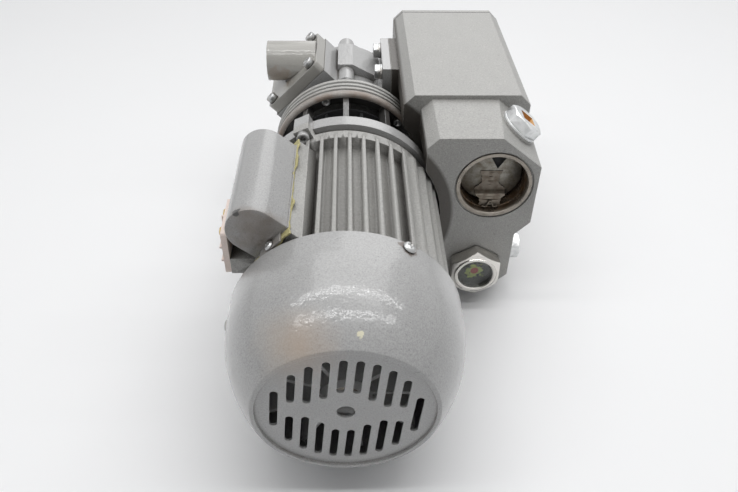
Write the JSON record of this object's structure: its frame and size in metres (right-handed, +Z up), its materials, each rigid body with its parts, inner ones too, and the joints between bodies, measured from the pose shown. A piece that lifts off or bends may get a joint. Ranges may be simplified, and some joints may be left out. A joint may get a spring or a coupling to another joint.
{
  "type": "rotary vane vacuum pump",
  "caption": "Oil-sealed rotary vane vacuum pump with a finned electric motor, fan cowl, cooling cage, threaded intake and side oil separator.",
  "frame": {"origin": "on the floor, in the middle of the four feet", "axes": "+Y along the shaft from the fan cowl to the pump, +Z up, +X towards the oil separator"},
  "size_m": [0.246, 0.449, 0.1881],
  "materials": {
    "grey_paint": "satin",
    "zinc_plate": "satin",
    "bare_steel": "satin",
    "nickel_plate": "polished",
    "aluminium": "satin",
    "core_steel": "matt",
    "copper_wire": "varnished",
    "black_plastic": "matt",
    "buff_plastic": "matt",
    "brass": "satin",
    "black_rubber": "matt",
    "foot_rubber": "matt",
    "gasket_fibre": "matt",
    "filter_fibre": "matt",
    "carbon_vane": "matt",
    "clear_glass": "polished",
    "red_reflector": "gloss"
  },
  "bodies": {
    "housing": {"fan_cowl": "grey_paint", "cowl_screws": "zinc_plate", "motor_bearings": "bare_steel", "motor_end_shield": "grey_paint", "motor_frame": "grey_paint", "stator_core": "core_steel", "stator_windings": "copper_wire", "capacitor_cover": "grey_paint", "cover_gasket": "gasket_fibre", "run_capacitor": "aluminium", "cover_screws": "zinc_plate", "terminal_block": "buff_plastic", "terminal_screws": "brass", "motor_flange": "grey_paint", "lug_screws": "zinc_plate", "fan_shroud": "grey_paint", "bell_screws": "zinc_plate", "pump_front_cover": "grey_paint", "shaft_seal": "black_rubber", "pump_bearings": "bare_steel", "pump_cylinder": "grey_paint", "pump_rear_cover": "grey_paint", "pump_bolts": "zinc_plate", "intake_gasket": "gasket_fibre", "intake_elbow": "grey_paint", "intake_screws": "zinc_plate", "side_gasket": "gasket_fibre", "side_washers": "zinc_plate", "side_bolts": "zinc_plate", "oil_separator": "grey_paint", "inner_screws": "zinc_plate", "lid_gasket": "gasket_fibre", "separator_lid": "grey_paint", "lid_screws": "zinc_plate", "exhaust_port_ring": "bare_steel", "exhaust_filter": "filter_fibre", "leaf_spring": "bare_steel", "sight_glass_nut": "nickel_plate", "sight_glass": "clear_glass", "level_reflector": "red_reflector", "sight_glass_seal": "black_rubber", "filler_plug": "zinc_plate", "filler_washer": "gasket_fibre", "drain_plug": "zinc_plate", "drain_washer": "gasket_fibre", "rubber_feet": "foot_rubber", "foot_studs": "zinc_plate"},
    "shaft_line": {"motor_shaft": "bare_steel", "motor_rotor": "aluminium", "motor_fan": "black_plastic", "coupling_motor_half": "aluminium", "coupling_spider": "black_rubber", "coupling_pump_half": "aluminium", "pump_fan": "black_plastic", "pump_rotor": "bare_steel"},
    "vane_a": {"vane_1": "carbon_vane"},
    "vane_b": {"vane_2": "carbon_vane"},
    "vane_c": {"vane_3": "carbon_vane"},
    "inlet_valve": {"check_valve_disc": "black_rubber"}
  },
  "joints": [
    {"name": "shaft_turn", "type": "hinge", "parent": "housing", "child": "shaft_line", "pos_m": [-0.035, 0, 0.096], "axis": [0, 1, 0], "continuous": true},
    {"name": "vane_slide_a", "type": "slide", "parent": "shaft_line", "child": "vane_a", "axis": [0.866, 0, -0.5], "range_m": [0, 0.0022]},
    {"name": "vane_slide_b", "type": "slide", "parent": "shaft_line", "child": "vane_b", "axis": [0, 0, 1], "range_m": [0, 0.00015]},
    {"name": "vane_slide_c", "type": "slide", "parent": "shaft_line", "child": "vane_c", "axis": [-0.866, 0, -0.5], "range_m": [0, 0.0022]},
    {"name": "valve_lift", "type": "slide", "parent": "housing", "child": "inlet_valve", "axis": [0.7071, 0, -0.7071], "range_m": [0, 0.0035], "stiffness_N_per_m": 120, "springref_m": -0.003}
  ]
}
